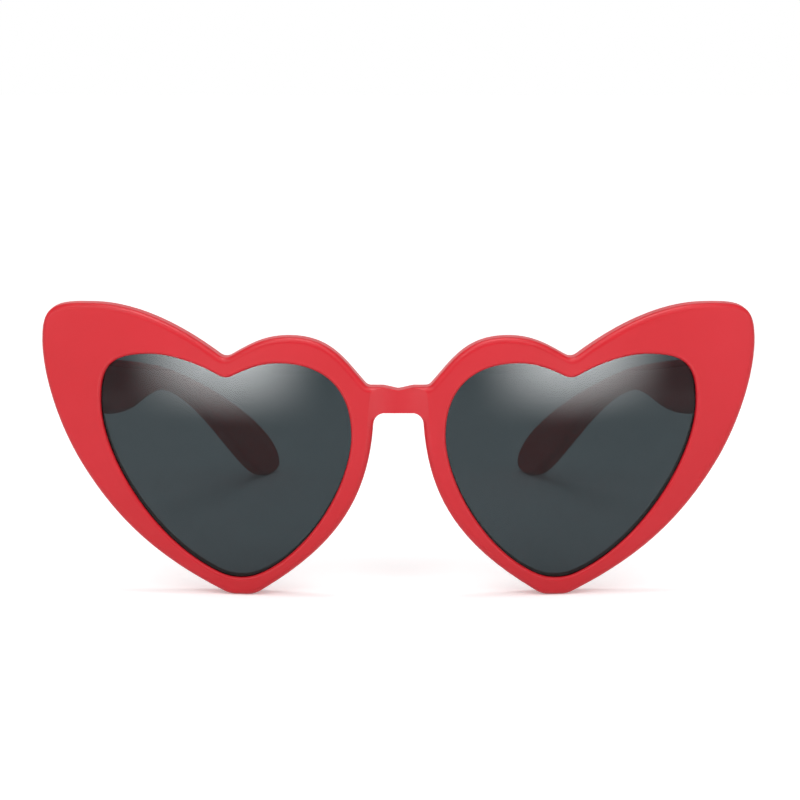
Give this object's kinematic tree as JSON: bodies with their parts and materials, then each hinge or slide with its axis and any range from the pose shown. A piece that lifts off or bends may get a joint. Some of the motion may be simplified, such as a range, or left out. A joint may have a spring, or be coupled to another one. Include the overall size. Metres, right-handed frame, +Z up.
{
  "type": "heart shaped sunglasses",
  "caption": "Plastic sunglasses with heart-shaped rims, winged corners, smoke lenses and hinged folding temples that curve down to rounded tips.",
  "frame": {"origin": "on the table, under the middle of the box round the open sunglasses", "axes": "+X across the front to the wearer's left, +Y from the front back to the ears, +Z up"},
  "size_m": [0.142, 0.122, 0.0582],
  "materials": {
    "red_plastic": "satin",
    "smoke_lens": "gloss",
    "hinge_steel": "satin",
    "screw_steel": "polished",
    "core_steel": "satin",
    "nylon": "matte"
  },
  "bodies": {
    "front": {"front_frame": "red_plastic", "lens_left": "smoke_lens", "lens_right": "smoke_lens", "front_hinge_leaf_left": "hinge_steel", "front_hinge_leaf_right": "hinge_steel", "hinge_screw_left": "screw_steel", "hinge_screw_right": "screw_steel", "hinge_washers_left": "nylon", "hinge_washers_right": "nylon", "front_hinge_rivets_left": "screw_steel", "front_hinge_rivets_right": "screw_steel"},
    "left_temple": {"temple_left": "red_plastic", "temple_core_left": "core_steel", "temple_hinge_leaf_left": "hinge_steel", "temple_hinge_rivets_left": "screw_steel"},
    "right_temple": {"temple_right": "red_plastic", "temple_core_right": "core_steel", "temple_hinge_leaf_right": "hinge_steel", "temple_hinge_rivets_right": "screw_steel"}
  },
  "joints": [
    {"name": "left_temple_fold", "type": "hinge", "parent": "front", "child": "left_temple", "pos_m": [0.0628, -0.04401, 0.0402], "axis": [0, 0, 1], "range_deg": [0, 75]},
    {"name": "right_temple_fold", "type": "hinge", "parent": "front", "child": "right_temple", "pos_m": [-0.0628, -0.04401, 0.0402], "axis": [0, 0, -1], "range_deg": [0, 70]}
  ]
}
